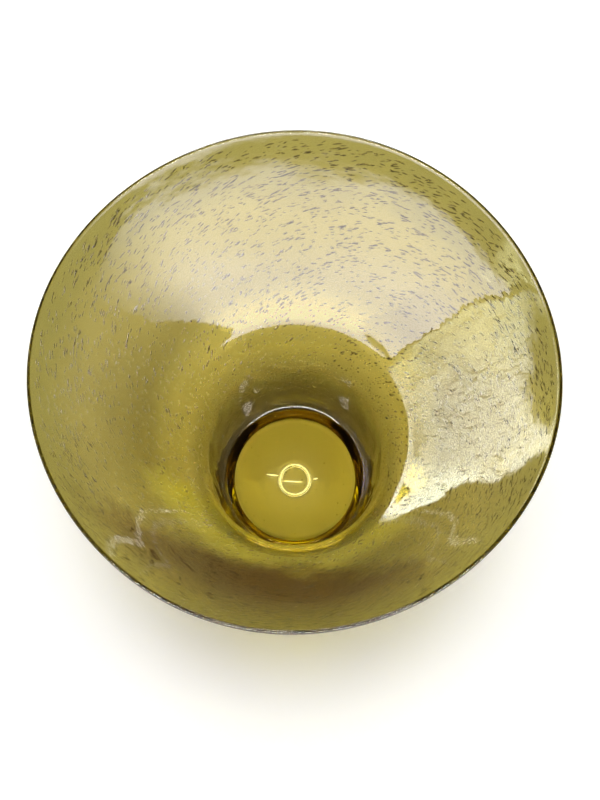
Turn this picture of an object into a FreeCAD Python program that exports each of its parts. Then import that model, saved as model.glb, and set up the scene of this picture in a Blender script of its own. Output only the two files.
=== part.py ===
"""A blown and flared art glass bowl, in millimetres.

The origin is the centre of the resting face, on the surface that the bowl stands on, with +Z up.
The bowl is hot-worked glass: a first gather and a casing gather over it, a solid pad where both pool at
the foot, the fire-polished lip where they run together, and the scar that the pontil rod leaves.
Every piece is turned about the Z axis, so each one is a closed outline and one revolution.
"""

import FreeCAD
import Part
import Sketcher
import math
import os

DIMENSIONS = {
    # whole bowl
    "rim_radius": 142.0,
    "bowl_height": 154.0,
    "lip_thickness": 2.3,
    "lip_angle": 50.0,
    "lip_seam_height": 150.0,
    "foot_seam_height": 20.0,
    # inner skin: stem slope, shoulder, start of the flare
    "inner_stem_angle": 78.0,
    "inner_shoulder_radius": 47.3,
    "inner_flare_angle": 40.2,
    "inner_flare_radius": 607.0,
    # skin between the two gathers
    "middle_stem_angle": 78.5,
    "middle_shoulder_radius": 49.7,
    "middle_flare_angle": 41.06,
    "middle_flare_radius": 673.0,
    # outer skin
    "outer_stem_angle": 79.0,
    "outer_shoulder_radius": 51.8,
    "outer_flare_angle": 41.9,
    "outer_flare_radius": 752.0,
    # foot
    "floor_height": 9.4,
    "floor_fillet": 3.5,
    "side_angle": 59.0,
    "side_blend_radius": 10.0,
    "heel_radius": 2.0,
    "kick_radius": 11.0,
    "kick_run": 15.0,
    "kick_height": 1.4,
    # pontil scar, under the kick
    "scar_inner_radius": 6.6,
    "scar_outer_radius": 9.8,
    "scar_depth": 0.9,
}

SKIN_SIDE = {"inner": -1, "middle": 0, "outer": 1}
FULL_TURN = 360.0
EXACT = 1e-7
START, END = 1, 2
ORIGIN_POINT = (-1, 1)

doc = FreeCAD.newDocument("art_glass_bowl")


def fill_sheet():
    """Put every driving dimension in the sheet, one named cell each."""
    sheet = doc.addObject("Spreadsheet::Sheet", "Dimensions")
    for row, (alias, value) in enumerate(DIMENSIONS.items(), start=1):
        sheet.set(f"A{row}", alias.replace("_", " "))
        sheet.set(f"B{row}", str(value))
        sheet.setAlias(f"B{row}", alias)
    doc.recompute()
    return sheet


def cell(alias):
    """The expression that reads one dimension."""
    return f"Dimensions.{alias}"


def angle(alias):
    """The expression that reads one angle, in degrees."""
    return f"({cell(alias)} * 1 deg)"


def lip_point(side):
    """Where a skin meets the seam under the lip; side is -1 inside, 0 between the gathers, 1 outside."""
    bead = f"{cell('lip_thickness')} / 2"
    tilt = angle("lip_angle")
    bead_r = f"({cell('rim_radius')} - {bead} + {side} * {bead} * sin({tilt}))"
    bead_z = f"({cell('bowl_height')} - {bead} - {side} * {bead} * cos({tilt}))"
    r = f"({bead_r} - ({bead_z} - {cell('lip_seam_height')}) / tan({tilt}))"
    return r, cell("lip_seam_height")


def back_along_arc(point, radius, steep, shallow):
    """The other end of an arc whose slope runs from one angle to the other."""
    r, z = point
    return (
        f"({r} - {radius} * (sin({steep}) - sin({shallow})))",
        f"({z} - {radius} * (cos({shallow}) - cos({steep})))",
    )


def skin_points(skin):
    """The four points of one skin, from the foot seam up to the lip seam."""
    lip = lip_point(SKIN_SIDE[skin])
    flare_angle = angle(f"{skin}_flare_angle")
    stem_angle = angle(f"{skin}_stem_angle")
    flare = back_along_arc(lip, cell(f"{skin}_flare_radius"), angle("lip_angle"), flare_angle)
    shoulder = back_along_arc(flare, cell(f"{skin}_shoulder_radius"), stem_angle, flare_angle)
    foot_r = f"({shoulder[0]} - ({shoulder[1]} - {cell('foot_seam_height')}) / tan({stem_angle}))"
    return (foot_r, cell("foot_seam_height")), shoulder, flare, lip


def skin_up(skin):
    """Edges of one skin walked upwards: (start point, arc radius or None, turn)."""
    foot, shoulder, flare, lip = skin_points(skin)
    return [
        (foot, None, 0),
        (shoulder, cell(f"{skin}_shoulder_radius"), -1),
        (flare, cell(f"{skin}_flare_radius"), 1),
        (lip, None, 0),
    ]


def skin_down(skin):
    """The same edges walked downwards."""
    foot, shoulder, flare, lip = skin_points(skin)
    return [
        (lip, cell(f"{skin}_flare_radius"), -1),
        (flare, cell(f"{skin}_shoulder_radius"), 1),
        (shoulder, None, 0),
        (foot, None, 0),
    ]


def foot_corner(above, slope, level, radius):
    """Where a sloping line, carried down, rounds into a level face: (on the slope, on the face)."""
    side_z = f"({level} + {radius} * (1 - cos({slope})))"
    side_r = f"({above[0]} - ({above[1]} - {side_z}) / tan({slope}))"
    face_r = f"({side_r} - {radius} * sin({slope}))"
    return (side_r, side_z), (face_r, level)


def arc_between(start, end, radius, turn):
    """A sketch arc from start to end; turn is 1 anticlockwise and -1 clockwise."""
    chord = end - start
    middle = (start + end) * 0.5
    rise = math.sqrt(radius**2 - (chord.Length / 2) ** 2)
    normal = FreeCAD.Vector(-chord.y, chord.x, 0).normalize()
    centre = middle + normal * rise * turn
    first, last = (start, end) if turn > 0 else (end, start)
    first_angle = math.atan2(first.y - centre.y, first.x - centre.x)
    last_angle = math.atan2(last.y - centre.y, last.x - centre.x)
    if last_angle < first_angle:
        last_angle += 2 * math.pi
    circle = Part.Circle(centre, FreeCAD.Vector(0, 0, 1), radius)
    return Part.ArcOfCircle(circle, first_angle, last_angle)


def pin_point(sketch, edge, end, point, name):
    """Tie one end of an edge to its radius and height."""
    for kind, axis, text in (("DistanceX", "r", point[0]), ("DistanceY", "z", point[1])):
        value = number(sketch, text)
        if abs(value) < EXACT and text == "0":
            target = -2 if axis == "r" else -1
            sketch.addConstraint(Sketcher.Constraint("PointOnObject", edge, end, target))
            continue
        index = sketch.addConstraint(
            Sketcher.Constraint(kind, ORIGIN_POINT[0], ORIGIN_POINT[1], edge, end, value)
        )
        sketch.renameConstraint(index, f"{name}_{axis}")
        sketch.setExpression(f"Constraints.{name}_{axis}", text)


def number(owner, text):
    """The plain value of an expression, seen from an object of the document."""
    value = owner.evalExpression(text)
    return float(getattr(value, "Value", value))


def origin_feature(body, role):
    """One of the body's own origin planes or axes."""
    return next(item for item in body.Origin.OriginFeatures if item.Role == role)


def turned_body(name, corners):
    """A body whose outline is turned about Z. Each corner is (point, arc radius or None, turn)."""
    body = doc.addObject("PartDesign::Body", name)
    body.Label = name
    sketch = body.newObject("Sketcher::SketchObject", f"{name}_outline")
    sketch.AttachmentSupport = [(origin_feature(body, "XZ_Plane"), "")]
    sketch.MapMode = "FlatFace"
    places = [FreeCAD.Vector(number(sketch, r), number(sketch, z), 0) for (r, z), _, _ in corners]
    entries = []
    for index, (_, radius, turn) in enumerate(corners):
        start = places[index]
        end = places[(index + 1) % len(places)]
        if radius is None:
            edge = sketch.addGeometry(Part.LineSegment(start, end), False)
            entries.append((edge, START, END))
            continue
        edge = sketch.addGeometry(arc_between(start, end, number(sketch, radius), turn), False)
        entries.append((edge, START, END) if turn > 0 else (edge, END, START))
        bend = sketch.addConstraint(Sketcher.Constraint("Radius", edge, number(sketch, radius)))
        sketch.renameConstraint(bend, f"bend_{index}")
        sketch.setExpression(f"Constraints.bend_{index}", radius)
    for index, (edge, start_end, far_end) in enumerate(entries):
        next_edge, next_start, _ = entries[(index + 1) % len(entries)]
        sketch.addConstraint(Sketcher.Constraint("Coincident", edge, far_end, next_edge, next_start))
        pin_point(sketch, edge, start_end, corners[index][0], f"corner_{index}")
    turn_about_z = body.newObject("PartDesign::Revolution", f"{name}_turned")
    turn_about_z.Profile = sketch
    turn_about_z.ReferenceAxis = (sketch, ["V_Axis"])
    turn_about_z.Angle = FULL_TURN
    body.Placement = FreeCAD.Placement()
    return body


def inner_gather():
    """The first gather: the wall's inner layer, with the seeds caught on its outside."""
    return turned_body("inner_gather", skin_down("inner") + skin_up("middle"))


def outer_gather():
    """The casing gather, laid over the first one."""
    return turned_body("outer_gather", skin_down("middle") + skin_up("outer"))


def base_pad():
    """The solid foot: level floor inside, side drawn in to the heel, flat resting ring, shallow kick."""
    inner_foot, _, _, _ = skin_points("inner")
    outer_foot, _, _, _ = skin_points("outer")
    stem_angle = angle("inner_stem_angle")
    floor_stem, floor_edge = foot_corner(
        inner_foot, stem_angle, cell("floor_height"), cell("floor_fillet")
    )
    side_angle = angle("side_angle")
    side_top = back_along_arc(
        outer_foot, cell("side_blend_radius"), angle("outer_stem_angle"), side_angle
    )
    heel_side, heel_edge = foot_corner(side_top, side_angle, "0", cell("heel_radius"))
    kick_edge = f"({cell('kick_radius')} + {cell('kick_run')})"
    corners = [
        (("0", cell("kick_height")), None, 0),
        ((cell("kick_radius"), cell("kick_height")), None, 0),
        ((kick_edge, "0"), None, 0),
        (heel_edge, cell("heel_radius"), 1),
        (heel_side, None, 0),
        (side_top, cell("side_blend_radius"), 1),
        (outer_foot, None, 0),
        (inner_foot, None, 0),
        (floor_stem, cell("floor_fillet"), -1),
        (floor_edge, None, 0),
        (("0", cell("floor_height")), None, 0),
    ]
    return turned_body("base_pad", corners)


def rim_lip():
    """The fire-polished lip: both gathers run together in a full round."""
    inner_r, seam = lip_point(SKIN_SIDE["inner"])
    outer_r, _ = lip_point(SKIN_SIDE["outer"])
    bead = f"{cell('lip_thickness')} / 2"
    tilt = angle("lip_angle")
    centre_r = f"{cell('rim_radius')} - {bead}"
    centre_z = f"{cell('bowl_height')} - {bead}"
    outer_side = (f"({centre_r} + {bead} * sin({tilt}))", f"({centre_z} - {bead} * cos({tilt}))")
    inner_side = (f"({centre_r} - {bead} * sin({tilt}))", f"({centre_z} + {bead} * cos({tilt}))")
    top = (f"({centre_r} + {bead} * cos({tilt}))", f"({centre_z} + {bead} * sin({tilt}))")
    corners = [
        ((inner_r, seam), None, 0),
        ((outer_r, seam), None, 0),
        (outer_side, bead, 1),
        (top, bead, 1),
        (inner_side, None, 0),
    ]
    return turned_body("rim_lip", corners)


def pontil_scar():
    """The ring of glass left where the pontil rod was broken away."""
    roof = cell("kick_height")
    drop = f"({cell('kick_height')} - {cell('scar_depth')})"
    middle = f"(({cell('scar_inner_radius')} + {cell('scar_outer_radius')}) / 2)"
    corners = [
        ((cell("scar_inner_radius"), roof), None, 0),
        ((middle, drop), None, 0),
        ((cell("scar_outer_radius"), roof), None, 0),
    ]
    return turned_body("pontil_scar", corners)


def check_and_write(bodies):
    """Refuse a failed object or shape, then write one file for each sub-part."""
    doc.recompute()
    for item in doc.Objects:
        if "Invalid" in item.State or "Error" in item.State:
            raise RuntimeError(f"{item.Name} failed: {item.State}")
    os.makedirs("parts", exist_ok=True)
    for body in bodies:
        if body.Shape.isNull() or not body.Shape.isValid():
            raise RuntimeError(f"{body.Label} has no valid shape")
        body.Shape.exportStep(f"parts/{body.Label}.step")
        box = body.Shape.optimalBoundingBox()
        extent = f"z {box.ZMin:.2f} to {box.ZMax:.2f}, r {box.XMax:.2f}"
        print(f"{body.Label}: {body.Shape.Volume:.1f} mm3, {extent}")


fill_sheet()
check_and_write([inner_gather(), outer_gather(), base_pad(), rim_lip(), pontil_scar()])
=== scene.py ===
"""Looks of a blown art glass bowl: one clear amber-olive glass body, the seeds in it and its pontil scar.

Metres throughout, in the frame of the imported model: Z up, the foot's resting face at z = 0.
The glass body is one closed surface, because the gathers, the foot and the lip are fused in the real
bowl and light crosses from one to the next without a surface. Seeds are cavities in it.
"""

import math
import random

import bpy
import numpy as np
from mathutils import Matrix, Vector, noise

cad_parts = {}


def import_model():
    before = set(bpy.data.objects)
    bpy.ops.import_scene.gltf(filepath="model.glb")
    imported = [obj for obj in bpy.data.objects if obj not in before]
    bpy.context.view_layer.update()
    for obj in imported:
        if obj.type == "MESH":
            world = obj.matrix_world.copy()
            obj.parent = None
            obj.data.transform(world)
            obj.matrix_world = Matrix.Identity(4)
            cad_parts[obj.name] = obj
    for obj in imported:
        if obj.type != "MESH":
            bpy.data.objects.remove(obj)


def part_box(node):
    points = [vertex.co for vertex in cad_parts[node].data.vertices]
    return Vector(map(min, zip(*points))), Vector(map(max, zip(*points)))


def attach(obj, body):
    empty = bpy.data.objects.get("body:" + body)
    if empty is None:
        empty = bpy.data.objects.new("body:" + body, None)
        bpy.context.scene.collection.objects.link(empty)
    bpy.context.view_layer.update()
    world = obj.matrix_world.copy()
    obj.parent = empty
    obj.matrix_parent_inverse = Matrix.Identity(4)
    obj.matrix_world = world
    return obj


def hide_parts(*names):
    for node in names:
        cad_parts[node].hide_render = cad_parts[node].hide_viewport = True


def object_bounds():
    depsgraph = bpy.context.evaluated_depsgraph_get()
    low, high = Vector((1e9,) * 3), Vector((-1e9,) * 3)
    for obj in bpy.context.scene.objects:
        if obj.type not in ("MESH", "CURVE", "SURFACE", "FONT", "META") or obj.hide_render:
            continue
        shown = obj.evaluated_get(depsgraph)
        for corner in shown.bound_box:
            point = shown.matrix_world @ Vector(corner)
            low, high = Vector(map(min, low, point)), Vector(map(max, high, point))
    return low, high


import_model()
CAD_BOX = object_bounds()

# ---------------------------------------------------------------- driving sizes, from the frame
BOWL_HEIGHT = CAD_BOX[1].z
RIM_RADIUS = (CAD_BOX[1].x - CAD_BOX[0].x) / 2
LIP_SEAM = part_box("rim_lip")[0].z
FOOT_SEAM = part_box("base_pad")[1].z
SCAR_LOW, SCAR_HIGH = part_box("pontil_scar")

LIP_THICKNESS = 0.0023
LIP_ANGLE = math.radians(50)
FLOOR_HEIGHT = 0.0094
FLOOR_FILLET = 0.0035
SIDE_ANGLE = math.radians(59)
SIDE_BLEND = 0.010
HEEL_RADIUS = 0.0020
KICK_RADIUS = 0.011
KICK_RUN = 0.015
KICK_HEIGHT = 0.0014
SCAR_INNER = 0.0066
SCAR_OUTER = SCAR_HIGH.x
SCAR_DEPTH = KICK_HEIGHT - SCAR_LOW.z

# side of the lip bead, stem slope, shoulder radius, slope and radius of the flare
INNER_SKIN = (-1, math.radians(78), 0.0473, math.radians(40.2), 0.607)
OUTER_SKIN = (1, math.radians(79), 0.0518, math.radians(41.9), 0.752)

# hand-made departures from a true round
RIM_SQUASH_X = 0.980
RIM_SQUASH_Y = 0.995
FOOT_SQUASH_X = 0.975
FOOT_SQUASH_Y = 1.060
LOBE_COUNT = 4
LOBE_DEPTH = 0.0042
LOBE_TURN = math.radians(80)
FRONT_LEAN = 0.0052

# fine unevenness of the skins: broad waves everywhere, and finer ones about a height low on the stem
BROAD_WAVE = 0.00016
BROAD_SCALE = 28
FINE_WAVE = 0.00022
FINE_SCALE = (110, 110, 75)
FINE_HEIGHT = 0.034
FINE_SPREAD = 0.020
OUTER_WAVES, MIDDLE_WAVES, INNER_WAVES = 1, 1.5, 2
WAVE_SHIFT = 7.3

AROUND = 288
SCAR_AROUND = 144
SCAR_SECTION = 8
SEED_AROUND = 8
SEED_NUMBER = 20241117

# broken skin of the pontil scar, and short dashes beside it that are painted highlights
SCAR_SKIN_RISE = 0.0006
SCAR_SKIN_THICKNESS = 0.00027
SCAR_SKIN_WANDER = 0.0003
PAINTED_GLINT_RISE = 0.0004
PAINTED_GLINT_WIDTH = 0.0007
PAINTED_GLINT_DEPTH = 0.0003
# painted highlights by the scar, as short dashes: x, y, length and turn of each
PAINTED_GLINTS = (
    (-0.0012, -0.0012, 0.0120, -0.05),
    (-0.0122, 0.0026, 0.0072, -0.12),
    (0.0112, 0.0004, 0.0030, 0.20),
)

# seeds in the wall: name, count, lowest and highest place
WALL_SEEDS = (
    ("seeds_upper", 4000, 0.115, 0.1495),
    ("seeds_middle", 2700, 0.082, 0.115),
    ("seeds_lower", 3600, 0.022, 0.082),
)
SEED_SPREAD = 0.33
SEED_LENGTH = 0.00062
SEED_DRAW = 0.0026
SEED_DRAW_RANGE = (0.45, 1.35)
SEED_WIDTH_RANGE = (0.00040, 0.00066)
SEED_WIDTH_SHARE = 0.34
SEED_DEPTH_SHARE = 0.30
SEED_COVER = 0.00035
SEED_DENSITY = 0.72
SEED_TWIST_RIM = 13
SEED_TWIST_FOOT = 50
SEED_TWIST_SPREAD = 8

# seeds in the foot
FOOT_SEEDS = 40
FOOT_SEED_SIZE = 0.00045
FOOT_SEED_SPREAD = 0.35
FOOT_SEED_REACH = 0.034
FOOT_SEED_LOWEST = 0.0024
FOOT_SEED_COVER = 0.0010

# glass: what its depth takes up, and the tint of its skin from the foot to the lip; among the tints are
# painted shade, painted light and a painted reflection
GLASS_IOR = 1.5
GLASS_COLOUR = (0.860, 0.810, 0.065, 1)
GLASS_DENSITY = 160.0
FOOT_TINT = (0.73, 0.69, 0.70, 1)
# painted shade: a dark brown band low on the stem round the foot, where the steep glass shows dark
RING_PAINTED_SHADE = (0.24, 0.20, 0.15, 1)
SHOULDER_TINT = (0.86, 0.76, 0.32, 1)
WALL_TINT = (0.46, 0.39, 0.158, 1)
# painted light: a lighter, yellower patch low on the near side of the wall
NEAR_PAINTED_LIGHT = (0.92, 0.86, 0.22, 1)
# painted reflection and shade: a dark reddish brown on the front of the near wall, for the room's
# reflection and the shade below it
FRONT_PAINTED_REFLECTION_AND_SHADE = (0.17, 0.095, 0.050, 1)
LIP_TINT = (0.33, 0.29, 0.10, 1)
SEED_TINT = (0.52, 0.46, 0.62, 1)
# where each tint gives way to the next: by distance from the axis, by height, or by distance forward
RING_RADII = (0.0345, 0.0375)
SHOULDER_HEIGHTS = (0.018, 0.074)
WALL_HEIGHTS = (0.074, 0.092)
LIP_HEIGHTS = (0.116, 0.150)
# forward and radius bounds of the painted light low on the near side, then forward bounds of the painted
# reflection and shade on the front
NEAR_FORWARD = (0.048, 0.064)
NEAR_RADII = (0.092, 0.070)
FRONT_FORWARD = (0.086, 0.108)
FORWARD = (-0.18, -1, 0)
FORWARD_WANDER = 0.030

# painted highlight: the pontil scar and the dashes by it glow, for the glints it throws back
SCAR_PAINTED_GLOW_COLOUR = (0.92, 0.96, 1.0, 1)
SCAR_PAINTED_GLOW = 2.2
SCAR_PALE = (0.98, 0.97, 0.88, 1)
SCAR_DARK = (0.80, 0.76, 0.52, 1)

# floor
FLOOR_LEVEL = -0.0003
FLOOR_HALF = 4.0
# painted light and shadow: the floor glows beyond the bowl and not under it, as a soft painted shadow
FLOOR_GLOW = 0.62
FLOOR_PAINTED_SHADOW_RADII = (0.050, 0.145)

# light panels that curve about the bowl: turn in degrees from the front (-Y) towards +X, low and high edge
WINDOW_RADIUS = 2.20
WINDOW_EDGES = (
    (88, 0.335, 0.360),
    (83, 0.350, 0.420),
    (77, 0.390, 0.660),
    (60, 0.475, 0.980),
    (43, 0.575, 1.300),
    (19, 0.705, 1.700),
    (0, 0.745, 1.850),
    (-10, 0.738, 1.800),
    (-24, 0.705, 1.650),
    (-40, 0.640, 1.400),
    (-56, 0.536, 1.150),
    (-67, 0.440, 1.030),
    (-79, 0.325, 0.900),
    (-88, 0.235, 0.750),
    (-100, 0.160, 0.600),
)
SIDE_RADIUS = 0.43
SIDE_EDGES = (
    (-78, 0.178, 0.310),
    (-94, 0.147, 0.240),
    (-107, 0.121, 0.178),
    (-116, 0.095, 0.145),
    (-126, 0.054, 0.104),
    (-134, 0.006, 0.066),
    (-141, 0.001, 0.045),
    (-152, 0.001, 0.030),
)
KICKER_RADIUS = 1.5
KICKER_TURN = 70
KICKER_RISE = (47.5, 53.5)
# share of a panel's height over which it goes from its first strength to its second
STRENGTH_RISE = (0.15, 0.55)

# studio world: strength near the horizon and overhead
WORLD_HEIGHTS = (0.02, 0.30)
WORLD_STRENGTHS = (0.9, 0.30)

CAMERA_LENS = 216
CAMERA_SENSOR = 36
CAMERA_REACH = 50
CAMERA_PLACE = (0.0028, -0.939, 2.458)
CAMERA_TILT = math.radians(21.89)


# ---------------------------------------------------------------- the turned outline
def skin_corners(skin):
    """The points of one skin in (r, z): foot seam, shoulder, flare and lip seam."""
    side, stem, shoulder_radius, flare, flare_radius = skin
    bead = LIP_THICKNESS / 2
    bead_r = RIM_RADIUS - bead + side * bead * math.sin(LIP_ANGLE)
    bead_z = BOWL_HEIGHT - bead - side * bead * math.cos(LIP_ANGLE)
    lip = (bead_r - (bead_z - LIP_SEAM) / math.tan(LIP_ANGLE), LIP_SEAM)
    start = back_along_arc(lip, flare_radius, LIP_ANGLE, flare)
    shoulder = back_along_arc(start, shoulder_radius, stem, flare)
    foot_r = shoulder[0] - (shoulder[1] - FOOT_SEAM) / math.tan(stem)
    return (foot_r, FOOT_SEAM), shoulder, start, lip, (bead_r, bead_z)


def back_along_arc(point, radius, steep, shallow):
    """The other end of an arc whose slope runs from one angle to the other."""
    r, z = point
    return (
        r - radius * (math.sin(steep) - math.sin(shallow)),
        z - radius * (math.cos(shallow) - math.cos(steep)),
    )


def foot_corner(above, slope, level, radius):
    """Where a sloping line, carried down, rounds into a level face: (on the slope, on the face)."""
    side_z = level + radius * (1 - math.cos(slope))
    side_r = above[0] - (above[1] - side_z) / math.tan(slope)
    return (side_r, side_z), (side_r - radius * math.sin(slope), level)


def line(start, end, step):
    """Points from start up to but not including end."""
    count = max(1, round(math.dist(start, end) / step))
    return [tuple(np.array(start) + (np.array(end) - start) * i / count) for i in range(count)]


def arc(centre, radius, first, last, step):
    """Points along an arc from the first angle up to but not including the last."""
    count = max(2, round(abs(last - first) * radius / step))
    angles = [first + (last - first) * i / count for i in range(count)]
    return [(centre[0] + radius * math.cos(a), centre[1] + radius * math.sin(a)) for a in angles]


def skin_walk(skin):
    """One skin from the end of its foot rounding up to the lip bead."""
    _, stem, shoulder_radius, flare, flare_radius = skin
    foot, shoulder, start, lip, bead = skin_corners(skin)
    right = math.pi / 2
    shoulder_centre = (
        shoulder[0] + shoulder_radius * math.sin(stem),
        shoulder[1] - shoulder_radius * math.cos(stem),
    )
    flare_centre = (
        start[0] - flare_radius * math.sin(flare),
        start[1] + flare_radius * math.cos(flare),
    )
    walk = line(foot, shoulder, 0.0014)
    walk += arc(shoulder_centre, shoulder_radius, right + stem, right + flare, 0.0016)
    walk += arc(flare_centre, flare_radius, flare - right, LIP_ANGLE - right, 0.0030)
    walk += line(lip, bead, 0.0012)
    return walk


def bowl_outline():
    """The whole outline in (r, z), from the middle of the underside out, up, over the lip and back in."""
    right = math.pi / 2
    outer_foot = skin_corners(OUTER_SKIN)[0]
    inner_foot = skin_corners(INNER_SKIN)[0]
    outer_stem, inner_stem = OUTER_SKIN[1], INNER_SKIN[1]
    side_top = back_along_arc(outer_foot, SIDE_BLEND, outer_stem, SIDE_ANGLE)
    heel_side, heel_face = foot_corner(side_top, SIDE_ANGLE, 0.0, HEEL_RADIUS)
    floor_stem, floor_face = foot_corner(inner_foot, inner_stem, FLOOR_HEIGHT, FLOOR_FILLET)
    side_centre = (
        side_top[0] - SIDE_BLEND * math.sin(SIDE_ANGLE),
        side_top[1] + SIDE_BLEND * math.cos(SIDE_ANGLE),
    )
    outline = line((0.0, KICK_HEIGHT), (SCAR_INNER, KICK_HEIGHT), 0.0008)
    for i in range(18):
        share = i / 18
        r = SCAR_INNER + (SCAR_OUTER - SCAR_INNER) * share
        outline.append((r, KICK_HEIGHT - SCAR_DEPTH * math.sin(math.pi * share) ** 1.5))
    outline += line((SCAR_OUTER, KICK_HEIGHT), (KICK_RADIUS, KICK_HEIGHT), 0.0008)
    for i in range(12):
        share = i / 12
        ease = (1 + math.cos(math.pi * share)) / 2
        outline.append((KICK_RADIUS + KICK_RUN * share, KICK_HEIGHT * ease))
    outline += line((KICK_RADIUS + KICK_RUN, 0.0), heel_face, 0.0014)
    outline += arc((heel_face[0], HEEL_RADIUS), HEEL_RADIUS, -right, SIDE_ANGLE - right, 0.0003)
    outline += line(heel_side, side_top, 0.0010)
    outline += arc(side_centre, SIDE_BLEND, SIDE_ANGLE - right, outer_stem - right, 0.0008)
    outline += skin_walk(OUTER_SKIN)
    bead_centre = (RIM_RADIUS - LIP_THICKNESS / 2, BOWL_HEIGHT - LIP_THICKNESS / 2)
    outline += arc(
        bead_centre, LIP_THICKNESS / 2, LIP_ANGLE - right, LIP_ANGLE + right, 0.00036
    )
    inner = skin_walk(INNER_SKIN)
    inner.append(skin_corners(INNER_SKIN)[4])
    outline += inner[:0:-1]
    outline += line(inner_foot, floor_stem, 0.0010)
    outline += arc(
        (floor_face[0], FLOOR_HEIGHT + FLOOR_FILLET), FLOOR_FILLET,
        inner_stem - right, -right, 0.0004,
    )
    outline += line(floor_face, (0.0, FLOOR_HEIGHT), 0.0012)
    outline.append((0.0, FLOOR_HEIGHT))
    return outline


# ---------------------------------------------------------------- hand-made unevenness
def share_up(z):
    """0 at the foot, 1 at the rim, eased at both ends."""
    t = min(1.0, max(0.0, (z - FOOT_SEAM) / (BOWL_HEIGHT - FOOT_SEAM)))
    return t * t * (3 - 2 * t)


def by_hand(turn, r, z, waves):
    """The real place of a point of the true round: (turn, r, z) to a vector."""
    up = share_up(z)
    lobes = 1 + LOBE_DEPTH * up * (math.cos(LOBE_COUNT * (turn - LOBE_TURN)) - 1)
    x = math.cos(turn) * (FOOT_SQUASH_X + (RIM_SQUASH_X - FOOT_SQUASH_X) * up)
    y = math.sin(turn) * (FOOT_SQUASH_Y + (RIM_SQUASH_Y - FOOT_SQUASH_Y) * up)
    swell = skin_swell(turn, r, z, waves) + front_lean(turn, z)
    return Vector((x * (r * lobes + swell), y * (r * lobes + swell), z))


def front_lean(turn, z):
    """How far the stem leans out towards the front, most at the shoulder."""
    rise = min(1.0, max(0.0, (z - 0.010) / 0.048))
    fall = min(1.0, max(0.0, (0.125 - z) / 0.060))
    facing = max(0.0, -math.sin(turn))
    return FRONT_LEAN * rise * fall * fall * (3 - 2 * fall) * facing * facing * (3 - 2 * facing)


def skin_swell(turn, r, z, waves):
    """How far a skin stands out from the true round: broad waves, and finer ones low down."""
    where = Vector((math.cos(turn) * r, math.sin(turn) * r, z))
    fade = min(1.0, r / 0.030) * min(1.0, max(0.0, (BOWL_HEIGHT - z) / 0.030))
    offset = Vector((waves * WAVE_SHIFT, 0, 0))
    broad = noise.noise(where * BROAD_SCALE + offset)
    low = math.exp(-((z - FINE_HEIGHT) / FINE_SPREAD) ** 2)
    fine = noise.noise(where * Vector(FINE_SCALE) + offset)
    return fade * (BROAD_WAVE * broad + FINE_WAVE * low * fine)


# ---------------------------------------------------------------- meshes
def new_piece(name, points, faces):
    """A smooth mesh object in the scene."""
    mesh = bpy.data.meshes.new(name)
    mesh.from_pydata([tuple(p) for p in points], [], faces)
    mesh.update()
    mesh.shade_smooth()
    piece = bpy.data.objects.new(name, mesh)
    bpy.context.scene.collection.objects.link(piece)
    return piece


def turned_faces(rings, around):
    """Faces of a closed turned surface: a point, some rings, and a point."""
    faces = []
    for ring in range(rings - 1):
        low, high = 1 + ring * around, 1 + (ring + 1) * around
        for k in range(around):
            n = (k + 1) % around
            faces.append((low + k, low + n, high + n, high + k))
    last = 1 + rings * around
    top = last - around
    for k in range(around):
        n = (k + 1) % around
        faces.append((0, 1 + n, 1 + k))
        faces.append((last, top + k, top + n))
    return faces


def glass_body():
    """The closed glass surface: underside, heel, outer skin, lip, inner skin and floor."""
    outline = bowl_outline()
    lip_index = max(range(len(outline)), key=lambda i: outline[i][1])
    points = [Vector((0, 0, outline[0][1]))]
    for index, (r, z) in enumerate(outline[1:-1], start=1):
        waves = OUTER_WAVES if index <= lip_index else INNER_WAVES
        for k in range(AROUND):
            points.append(by_hand(2 * math.pi * k / AROUND, r, z, waves))
    points.append(Vector((0, 0, outline[-1][1])))
    return new_piece("glass_body", points, turned_faces(len(outline) - 2, AROUND))


# ---------------------------------------------------------------- seeds
def table_of(skin):
    """Radius of a skin by height, as two rising arrays."""
    walk = skin_walk(skin)
    return np.array([z for _, z in walk]), np.array([r for r, _ in walk])


INNER_TABLE = table_of(INNER_SKIN)
OUTER_TABLE = table_of(OUTER_SKIN)


def wall_at(z):
    """Middle radius, thickness and slope of the wall at a height."""
    inner = float(np.interp(z, *INNER_TABLE))
    outer = float(np.interp(z, *OUTER_TABLE))
    above = float(np.interp(z + 0.001, *INNER_TABLE))
    slope = math.atan2(0.001, above - inner)
    return (inner + outer) / 2, (outer - inner) * math.sin(slope), slope


def seed_shape(points, faces, centre, along, wide, out, length, width, depth):
    """Add one drawn-out bubble: a low ellipsoid with its faces turned inwards, since it is a cavity."""
    first = len(points)
    points.append(centre - along * length / 2)
    for share in (-0.62, 0.0, 0.62):
        swell = math.sqrt(1 - share * share)
        for k in range(SEED_AROUND):
            a = 2 * math.pi * k / SEED_AROUND
            points.append(
                centre
                + along * (share * length / 2)
                + wide * (math.cos(a) * swell * width / 2)
                + out * (math.sin(a) * swell * depth / 2)
            )
    points.append(centre + along * length / 2)
    for face in turned_faces(3, SEED_AROUND):
        faces.append(tuple(first + i for i in reversed(face)))


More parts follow.
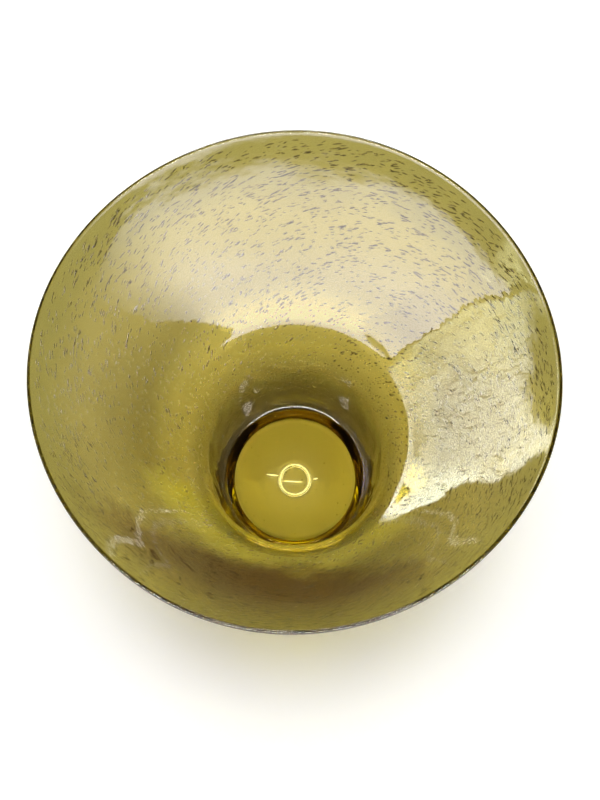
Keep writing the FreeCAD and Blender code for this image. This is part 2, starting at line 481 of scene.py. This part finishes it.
def wall_seeds(name, count, low, high, rng):
    """Seeds between the two skins, drawn out along the spiral that the glass was turned in."""
    points, faces = [], []
    made = 0
    while made < count:
        z = rng.uniform(low, high)
        middle, thickness, slope = wall_at(z)
        if rng.random() > middle / (RIM_RADIUS * math.sin(slope)) * SEED_DENSITY:
            continue
        turn = rng.uniform(0, 2 * math.pi)
        up = share_up(z)
        size = rng.lognormvariate(0, SEED_SPREAD)
        length = size * (SEED_LENGTH + SEED_DRAW * up * rng.uniform(*SEED_DRAW_RANGE))
        width = min(size * rng.uniform(*SEED_WIDTH_RANGE), thickness * SEED_WIDTH_SHARE)
        depth = min(width * 0.9, thickness * SEED_DEPTH_SHARE)
        place = rng.uniform(-1, 1) * (thickness / 2 - depth / 2 - SEED_COVER)
        r = middle + place * math.sin(slope)
        height = z - place * math.cos(slope)
        centre = by_hand(turn, r, height, MIDDLE_WAVES)
        twist_mean = SEED_TWIST_RIM + SEED_TWIST_FOOT * (1 - up) ** 1.5
        twist = math.radians(rng.gauss(twist_mean, SEED_TWIST_SPREAD))
        around_way = Vector((math.sin(turn), -math.cos(turn), 0))
        rise = Vector(
            (math.cos(turn) * math.cos(slope), math.sin(turn) * math.cos(slope), math.sin(slope))
        )
        along = around_way * math.cos(twist) + rise * math.sin(twist)
        wide = rise * math.cos(twist) - around_way * math.sin(twist)
        out = along.cross(wide)
        seed_shape(points, faces, centre, along, wide, out, length, width, depth)
        made += 1
    return new_piece(name, points, faces)


def foot_seeds(name, count, rng):
    """A few round seeds in the thick glass under the floor."""
    points, faces = [], []
    for _ in range(count):
        turn = rng.uniform(0, 2 * math.pi)
        r = FOOT_SEED_REACH * math.sqrt(rng.random())
        z = rng.uniform(FOOT_SEED_LOWEST, FLOOR_HEIGHT - FOOT_SEED_COVER)
        size = FOOT_SEED_SIZE * rng.lognormvariate(0, FOOT_SEED_SPREAD)
        centre = by_hand(turn, r, z, MIDDLE_WAVES)
        axes = (Vector((1, 0, 0)), Vector((0, 1, 0)), Vector((0, 0, 1)))
        seed_shape(points, faces, centre, *axes, size, size, size)
    return new_piece(name, points, faces)


def pontil_ring_and_painted_glints(name):
    """The broken skin of the pontil scar: a thin uneven ring under the floor, and a few dashes by it that
    are painted highlights.
    """
    points, faces = [], []
    middle_r, middle_z = (SCAR_INNER + SCAR_OUTER) / 2, SCAR_LOW.z + SCAR_SKIN_RISE
    for k in range(SCAR_AROUND):
        turn = 2 * math.pi * k / SCAR_AROUND
        wander = noise.noise(Vector((math.cos(turn) * 2, math.sin(turn) * 2, 5)))
        uneven = noise.noise(Vector((math.cos(turn) * 5, math.sin(turn) * 5, 9)))
        thick = SCAR_SKIN_THICKNESS * (1 + 0.45 * uneven)
        for i in range(SCAR_SECTION):
            a = 2 * math.pi * i / SCAR_SECTION
            r = middle_r + SCAR_SKIN_WANDER * wander + thick * math.cos(a)
            points.append(by_hand(turn, r, middle_z + 0.5 * thick * math.sin(a), MIDDLE_WAVES))
    for k in range(SCAR_AROUND):
        here, there = k * SCAR_SECTION, (k + 1) % SCAR_AROUND * SCAR_SECTION
        for i in range(SCAR_SECTION):
            m = (i + 1) % SCAR_SECTION
            faces.append((here + i, there + i, there + m, here + m))
    # painted highlights: short dashes of the glowing scar glass beside the ring
    for x, y, length, turn in PAINTED_GLINTS:
        along = Vector((math.cos(turn), math.sin(turn), 0))
        wide = Vector((-along.y, along.x, 0))
        centre = Vector((x, y, middle_z + PAINTED_GLINT_RISE))
        up = Vector((0, 0, 1))
        painted_glint_faces = []
        seed_shape(points, painted_glint_faces, centre, along, wide, up, length, PAINTED_GLINT_WIDTH, PAINTED_GLINT_DEPTH)
        faces += [tuple(reversed(face)) for face in painted_glint_faces]
    return new_piece(name, points, faces)


# ---------------------------------------------------------------- materials
def new_material(name):
    """A node material with its Principled shader; returns (material, node tree, shader)."""
    material = bpy.data.materials.new(name)
    material.use_nodes = True
    return material, material.node_tree, material.node_tree.nodes["Principled BSDF"]


def feed(tree, socket, value):
    """Set a socket to a plain value, or link it to the output of another node."""
    if isinstance(value, bpy.types.NodeSocket):
        tree.links.new(value, socket)
    else:
        socket.default_value = value


def maths(tree, operation, *values):
    """The output of a Math node."""
    node = tree.nodes.new("ShaderNodeMath")
    node.operation = operation
    for socket, value in zip(node.inputs, values):
        feed(tree, socket, value)
    return node.outputs[0]


def rising(tree, value, low, high, first=0, last=1):
    """first below low, last above high, smooth between."""
    ramp = tree.nodes.new("ShaderNodeMapRange")
    ramp.interpolation_type = "SMOOTHSTEP"
    ramp.inputs["From Min"].default_value = low
    ramp.inputs["From Max"].default_value = high
    ramp.inputs["To Min"].default_value = first
    ramp.inputs["To Max"].default_value = last
    tree.links.new(value, ramp.inputs["Value"])
    return ramp.outputs["Result"]


def edge_fade(tree, value, near, far):
    """0 at both ends of 0..1, rising smoothly to 1 over a share of the way at each end."""
    return maths(tree, "MULTIPLY", rising(tree, value, 0, near), rising(tree, value, 1, 1 - far))


def mix_colours(tree, share, first, second):
    """Mix two colours, each a plain colour or the output of another node."""
    mix = tree.nodes.new("ShaderNodeMix")
    mix.data_type = "RGBA"
    tree.links.new(share, mix.inputs["Factor"])
    colour_inputs = [socket for socket in mix.inputs if socket.type == "RGBA"]
    for socket, colour in zip(colour_inputs, (first, second)):
        feed(tree, socket, colour)
    return next(socket for socket in mix.outputs if socket.type == "RGBA")


def object_place(tree):
    """Where a point of the surface is, in the piece's own space."""
    return tree.nodes.new("ShaderNodeTexCoord").outputs["Object"]


def striae_bump(tree, shader, place, scale, stretch, height):
    """Faint striae in the surface, as bump; returns the noise that makes them."""
    mapping = tree.nodes.new("ShaderNodeMapping")
    mapping.inputs["Scale"].default_value = stretch
    striae = tree.nodes.new("ShaderNodeTexNoise")
    striae.inputs["Scale"].default_value = scale
    striae.inputs["Detail"].default_value = 2
    bump = tree.nodes.new("ShaderNodeBump")
    bump.inputs["Strength"].default_value = 1
    bump.inputs["Distance"].default_value = height
    tree.links.new(place, mapping.inputs["Vector"])
    tree.links.new(mapping.outputs["Vector"], striae.inputs["Vector"])
    tree.links.new(striae.outputs["Fac"], bump.inputs["Height"])
    tree.links.new(bump.outputs["Normal"], shader.inputs["Normal"])
    return striae.outputs["Fac"]


def make_clear(shader):
    """Clear, fire-polished glass."""
    shader.inputs["Transmission Weight"].default_value = 1
    shader.inputs["IOR"].default_value = GLASS_IOR
    shader.inputs["Roughness"].default_value = 0


def body_glass_painted_shade_and_light():
    """Amber-olive glass: its depth colours the foot, and its skin is tinted from the foot to the lip, with
    painted shade in a band round the foot, painted light low on the near side, and a painted reflection
    with shade on the front.
    """
    material, tree, shader = new_material("bowl_glass_painted_shade_and_light")
    make_clear(shader)
    place = object_place(tree)
    striae = striae_bump(tree, shader, place, 60, (1, 1, 2.2), 0.00003)
    parts = tree.nodes.new("ShaderNodeSeparateXYZ")
    tree.links.new(place, parts.inputs["Vector"])
    height = parts.outputs["Z"]
    flat = tree.nodes.new("ShaderNodeCombineXYZ")
    tree.links.new(parts.outputs["X"], flat.inputs["X"])
    tree.links.new(parts.outputs["Y"], flat.inputs["Y"])
    length = tree.nodes.new("ShaderNodeVectorMath")
    length.operation = "LENGTH"
    tree.links.new(flat.outputs["Vector"], length.inputs[0])
    radius = length.outputs["Value"]
    forward = tree.nodes.new("ShaderNodeVectorMath")
    forward.operation = "DOT_PRODUCT"
    forward.inputs[1].default_value = FORWARD
    tree.links.new(place, forward.inputs[0])
    # distance forward, wandering with the striae: it places the painted light low on the near side and the
    # painted reflection and shade on the front
    front = maths(tree, "MULTIPLY_ADD", striae, FORWARD_WANDER, forward.outputs["Value"])
    near = maths(
        tree, "MULTIPLY", rising(tree, front, *NEAR_FORWARD), rising(tree, radius, *NEAR_RADII)
    )
    # tints in turn: the ring one is painted shade, the near one painted light, the front one a painted
    # reflection and shade
    colour = FOOT_TINT
    for share, tint in (
        (rising(tree, radius, *RING_RADII), RING_PAINTED_SHADE),
        (rising(tree, height, *SHOULDER_HEIGHTS), SHOULDER_TINT),
        (rising(tree, height, *WALL_HEIGHTS), WALL_TINT),
        (near, NEAR_PAINTED_LIGHT),
        (rising(tree, front, *FRONT_FORWARD), FRONT_PAINTED_REFLECTION_AND_SHADE),
        (rising(tree, height, *LIP_HEIGHTS), LIP_TINT),
    ):
        colour = mix_colours(tree, share, colour, tint)
    tree.links.new(colour, shader.inputs["Base Color"])
    depth = tree.nodes.new("ShaderNodeVolumeAbsorption")
    depth.inputs["Color"].default_value = GLASS_COLOUR
    depth.inputs["Density"].default_value = GLASS_DENSITY
    tree.links.new(depth.outputs["Volume"], tree.nodes["Material Output"].inputs["Volume"])
    return material


def seed_glass():
    """The skin of a cavity: the same glass, seen from its own side."""
    material, tree, shader = new_material("seed_cavity")
    make_clear(shader)
    shader.inputs["Base Color"].default_value = SEED_TINT
    striae_bump(tree, shader, object_place(tree), 900, (1, 1, 1), 0.00001)
    return material


def scar_glass_painted_glow():
    """Crushed, whitened glass, with a glow that is a painted highlight for the light that it throws back.
    """
    material, tree, shader = new_material("pontil_glass_painted_glow")
    shader.inputs["Roughness"].default_value = 0.35
    shader.inputs["Emission Color"].default_value = SCAR_PAINTED_GLOW_COLOUR
    shader.inputs["Emission Strength"].default_value = SCAR_PAINTED_GLOW
    grain = tree.nodes.new("ShaderNodeTexNoise")
    grain.inputs["Scale"].default_value = 700
    tree.links.new(object_place(tree), grain.inputs["Vector"])
    colour = mix_colours(tree, grain.outputs["Fac"], SCAR_PALE, SCAR_DARK)
    tree.links.new(colour, shader.inputs["Base Color"])
    return material


# ---------------------------------------------------------------- build the pieces
rng = random.Random(SEED_NUMBER)

body = glass_body()
body.data.materials.append(body_glass_painted_shade_and_light())
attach(body, "root")
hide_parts("inner_gather", "outer_gather", "base_pad", "rim_lip")

scar = pontil_ring_and_painted_glints("pontil_ring_and_painted_glints")
scar.data.materials.append(scar_glass_painted_glow())
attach(scar, "root")
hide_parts("pontil_scar")

cavity = seed_glass()
seed_pieces = [wall_seeds(name, count, low, high, rng) for name, count, low, high in WALL_SEEDS]
seed_pieces.append(foot_seeds("seeds_foot", FOOT_SEEDS, rng))
for piece in seed_pieces:
    piece.data.materials.append(cavity)
    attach(piece, "root")


# ---------------------------------------------------------------- floor, light and camera
def floor():
    """A plain pale floor that glows a little, though not where the bowl stands: the glow is painted light,
    and its gap under the bowl a painted soft shadow.
    """
    half, low = FLOOR_HALF, FLOOR_LEVEL
    corners = [(-half, -half, low), (half, -half, low), (half, half, low), (-half, half, low)]
    piece = new_piece("floor", corners, [(0, 1, 2, 3)])
    material, tree, shader = new_material("pale_floor")
    shader.inputs["Base Color"].default_value = (0.86, 0.86, 0.86, 1)
    shader.inputs["Roughness"].default_value = 0.9
    shader.inputs["Specular IOR Level"].default_value = 0
    shader.inputs["Emission Color"].default_value = (1, 1, 1, 1)
    length = tree.nodes.new("ShaderNodeVectorMath")
    length.operation = "LENGTH"
    tree.links.new(object_place(tree), length.inputs[0])
    glow = rising(tree, length.outputs["Value"], *FLOOR_PAINTED_SHADOW_RADII, 0, FLOOR_GLOW)
    tree.links.new(glow, shader.inputs["Emission Strength"])
    piece.data.materials.append(material)


def softbox_light(name, strength, fade, colour):
    """Light of a panel: two strengths from low to high, clear at its faded edges."""
    material = bpy.data.materials.new(name)
    material.use_nodes = True
    tree = material.node_tree
    tree.nodes.remove(tree.nodes["Principled BSDF"])
    place = tree.nodes.new("ShaderNodeTexCoord")
    parts = tree.nodes.new("ShaderNodeSeparateXYZ")
    tree.links.new(place.outputs["UV"], parts.inputs["Vector"])
    across, up = parts.outputs["X"], parts.outputs["Y"]
    emission = tree.nodes.new("ShaderNodeEmission")
    emission.inputs["Color"].default_value = colour
    tree.links.new(rising(tree, up, *STRENGTH_RISE, *strength), emission.inputs["Strength"])
    clear = tree.nodes.new("ShaderNodeBsdfTransparent")
    mix = tree.nodes.new("ShaderNodeMixShader")
    inside = maths(tree, "MULTIPLY", edge_fade(tree, across, *fade[0]), edge_fade(tree, up, *fade[1]))
    tree.links.new(inside, mix.inputs["Fac"])
    tree.links.new(clear.outputs[0], mix.inputs[1])
    tree.links.new(emission.outputs[0], mix.inputs[2])
    tree.links.new(mix.outputs[0], tree.nodes["Material Output"].inputs["Surface"])
    return material


def softbox(name, corner_at, across, up, strength, fade, colour=(1, 1, 1, 1)):
    """A hidden light panel whose points come from corner_at(u, v)."""
    points = [corner_at(k / across, i / up) for i in range(up + 1) for k in range(across + 1)]
    faces = []
    for i in range(up):
        for k in range(across):
            a = i * (across + 1) + k
            faces.append((a, a + 1, a + across + 2, a + across + 1))
    panel = new_piece(name, points, faces)
    layer = panel.data.uv_layers.new(name="panel")
    for loop in panel.data.loops:
        row, column = divmod(loop.vertex_index, across + 1)
        layer.data[loop.index].uv = (column / across, row / up)
    panel.data.materials.append(softbox_light(name, strength, fade, colour))
    panel.visible_camera = False
    return panel


def curved_panel(radius, edges, u, v):
    """A point of an upright panel that curves about the bowl."""
    turns, lows, highs = zip(*reversed(edges))
    turn = turns[-1] + (turns[0] - turns[-1]) * u
    low, high = np.interp(turn, turns, lows), np.interp(turn, turns, highs)
    turn = math.radians(turn)
    return Vector((radius * math.sin(turn), -radius * math.cos(turn), low + (high - low) * v))


def window_panel(u, v):
    """Window light before the bowl, from its right end round to its left end."""
    return curved_panel(WINDOW_RADIUS, WINDOW_EDGES, u, v)


def side_panel(u, v):
    """The window light's low end, round to the back on the left."""
    return curved_panel(SIDE_RADIUS, SIDE_EDGES, u, v)


def kicker_panel(u, v):
    """A narrow strip high before the bowl, for the glint on the rounding round its floor."""
    turn = math.radians(KICKER_TURN * (1 - 2 * u))
    rise = math.radians(KICKER_RISE[0] + (KICKER_RISE[1] - KICKER_RISE[0]) * v)
    level = KICKER_RADIUS * math.cos(rise)
    return Vector((level * math.sin(turn), -level * math.cos(turn), KICKER_RADIUS * math.sin(rise)))


def top_panel(u, v):
    """A level panel overhead."""
    return Vector((1.1 - 2.2 * u, -0.8 + 1.7 * v, 2.2))


def back_panel(u, v):
    """A small panel behind the bowl."""
    return Vector((-0.5 + u, 1.7, 1.0 + 0.3 * v))


def world():
    """A pale studio: bright near and below the horizon, dimmer overhead."""
    studio = bpy.data.worlds.new("studio")
    bpy.context.scene.world = studio
    studio.use_nodes = True
    tree = studio.node_tree
    place = tree.nodes.new("ShaderNodeTexCoord")
    parts = tree.nodes.new("ShaderNodeSeparateXYZ")
    tree.links.new(place.outputs["Generated"], parts.inputs["Vector"])
    strength = rising(tree, parts.outputs["Z"], *WORLD_HEIGHTS, *WORLD_STRENGTHS)
    tree.links.new(strength, tree.nodes["Background"].inputs["Strength"])


def camera():
    """A long lens looking down into the bowl from the front."""
    data = bpy.data.cameras.new("camera")
    data.lens = CAMERA_LENS
    data.sensor_width = CAMERA_SENSOR
    data.clip_end = CAMERA_REACH
    eye = bpy.data.objects.new("camera", data)
    eye.location = CAMERA_PLACE
    eye.rotation_euler = (CAMERA_TILT, 0, 0)
    bpy.context.scene.collection.objects.link(eye)
    bpy.context.scene.camera = eye


floor()
world()
camera()
glass_only = bpy.data.collections.new("glass_only")
for piece in [body, scar] + seed_pieces:
    glass_only.objects.link(piece)

top = softbox("softbox_top", top_panel, 8, 6, (4.0, 4.0), ((0.05, 0.05), (0.05, 0.05)))
top.visible_glossy = False
side = softbox(
    "softbox_side", side_panel, 64, 8, (24.0, 24.0), ((0.06, 0.12), (0.18, 0.18)), (0.83, 1.0, 3.2, 1)
)
side.visible_glossy = False
kicker = softbox("softbox_kicker", kicker_panel, 32, 4, (60.0, 60.0), ((0.05, 0.05), (0.15, 0.15)))
kicker.visible_transmission = False
window = softbox(
    "softbox_window", window_panel, 64, 8, (5.2, 7.7), ((0.24, 0.05), (0.05, 0.04)), (1.0, 1.0, 1.2, 1)
)
back = softbox("softbox_back", back_panel, 8, 4, (40.0, 40.0), ((0.10, 0.10), (0.10, 0.10)))
for panel in (side, kicker, window, back):
    panel.light_linking.receiver_collection = glass_only
    panel.visible_diffuse = False
    panel.visible_shadow = False

scene = bpy.context.scene
scene.view_settings.view_transform = "Standard"
scene.cycles.max_bounces = 24
scene.cycles.transmission_bounces = 24
scene.cycles.glossy_bounces = 12
scene.cycles.diffuse_bounces = 3
scene.cycles.transparent_max_bounces = 8
scene.cycles.caustics_refractive = True
scene.cycles.caustics_reflective = True
scene.cycles.sample_clamp_indirect = 10
scene.cycles.sample_clamp_direct = 0
scene.cycles.blur_glossy = 0.1
